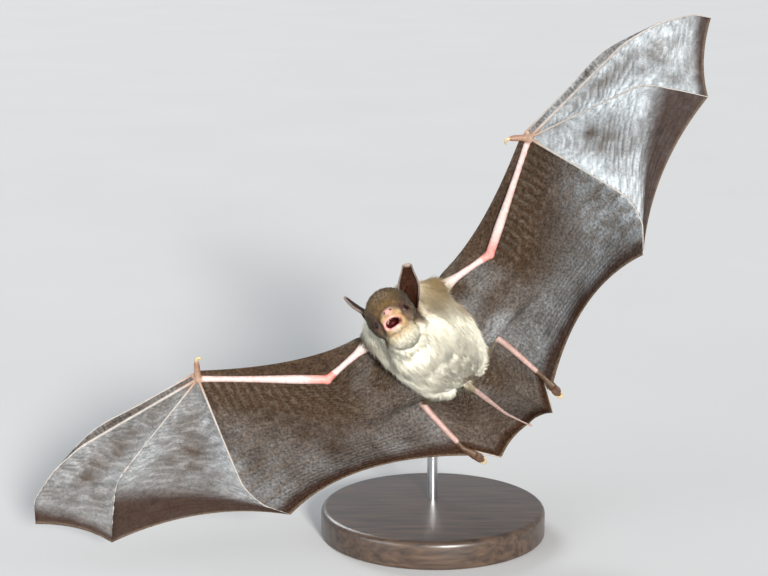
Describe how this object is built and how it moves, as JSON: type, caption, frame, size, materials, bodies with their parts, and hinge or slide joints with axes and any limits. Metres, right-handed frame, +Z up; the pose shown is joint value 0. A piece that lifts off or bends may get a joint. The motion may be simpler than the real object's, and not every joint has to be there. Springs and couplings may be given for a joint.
{
  "type": "flying mouse-eared bat, still display model on a stand",
  "caption": "Life-size still model of a small mouse-eared bat in banked flight, wings spread and mouth open, held by a bent rod on a round stand.",
  "frame": {"origin": "middle of the stand's flat underside, on the floor", "axes": "+Z up; +X towards the bat's raised left wing; the bat's face and belly look towards -Y, the rod stands behind it towards +Y"},
  "size_m": [0.178, 0.0795, 0.1502],
  "materials": {
    "coat": "soft dense fur, cream belly, olive-brown crown and back, dark at the roots",
    "bare_skin": "thin pink skin over bone, faintly moist",
    "finger_skin": "thin tan skin over slender finger bones",
    "foot_skin": "ochre wrinkled skin",
    "ear_skin": "thin dark brown skin with pale rims",
    "wing_skin": "thin dark grey-brown wing skin, silky sheen, fine wrinkles, light passes through",
    "tongue": "wet red",
    "eye": "wet black eye",
    "claw": "polished brown horn",
    "stand_wood": "dark stained hardwood, satin",
    "stand_steel": "brushed"
  },
  "bodies": {
    "root": {"head": "coat", "lower_jaw": "bare_skin", "tongue": "tongue", "eye_left": "eye", "eye_right": "eye", "ear_left": "ear_skin", "tragus_left": "ear_skin", "ear_right": "ear_skin", "tragus_right": "ear_skin", "trunk": "coat", "tail": "bare_skin", "upper_arm_left": "coat", "forearm_left": "bare_skin", "wrist_left": "foot_skin", "thumb_left": "foot_skin", "thumb_claw_left": "claw", "digit_2_left": "finger_skin", "digit_3_left": "finger_skin", "digit_4_left": "finger_skin", "digit_5_left": "finger_skin", "leg_left": "bare_skin", "foot_left": "foot_skin", "calcar_left": "bare_skin", "front_membrane_left": "wing_skin", "membrane_3_4_left": "wing_skin", "membrane_4_5_left": "wing_skin", "wing_membrane_left": "wing_skin", "tail_membrane_left": "wing_skin", "upper_arm_right": "coat", "forearm_right": "bare_skin", "wrist_right": "foot_skin", "thumb_right": "foot_skin", "thumb_claw_right": "claw", "digit_2_right": "finger_skin", "digit_3_right": "finger_skin", "digit_4_right": "finger_skin", "digit_5_right": "finger_skin", "leg_right": "bare_skin", "foot_right": "foot_skin", "calcar_right": "bare_skin", "front_membrane_right": "wing_skin", "membrane_3_4_right": "wing_skin", "membrane_4_5_right": "wing_skin", "wing_membrane_right": "wing_skin", "tail_membrane_right": "wing_skin", "stand_base": "stand_wood", "stand_rod": "stand_steel"}
  },
  "joints": []
}
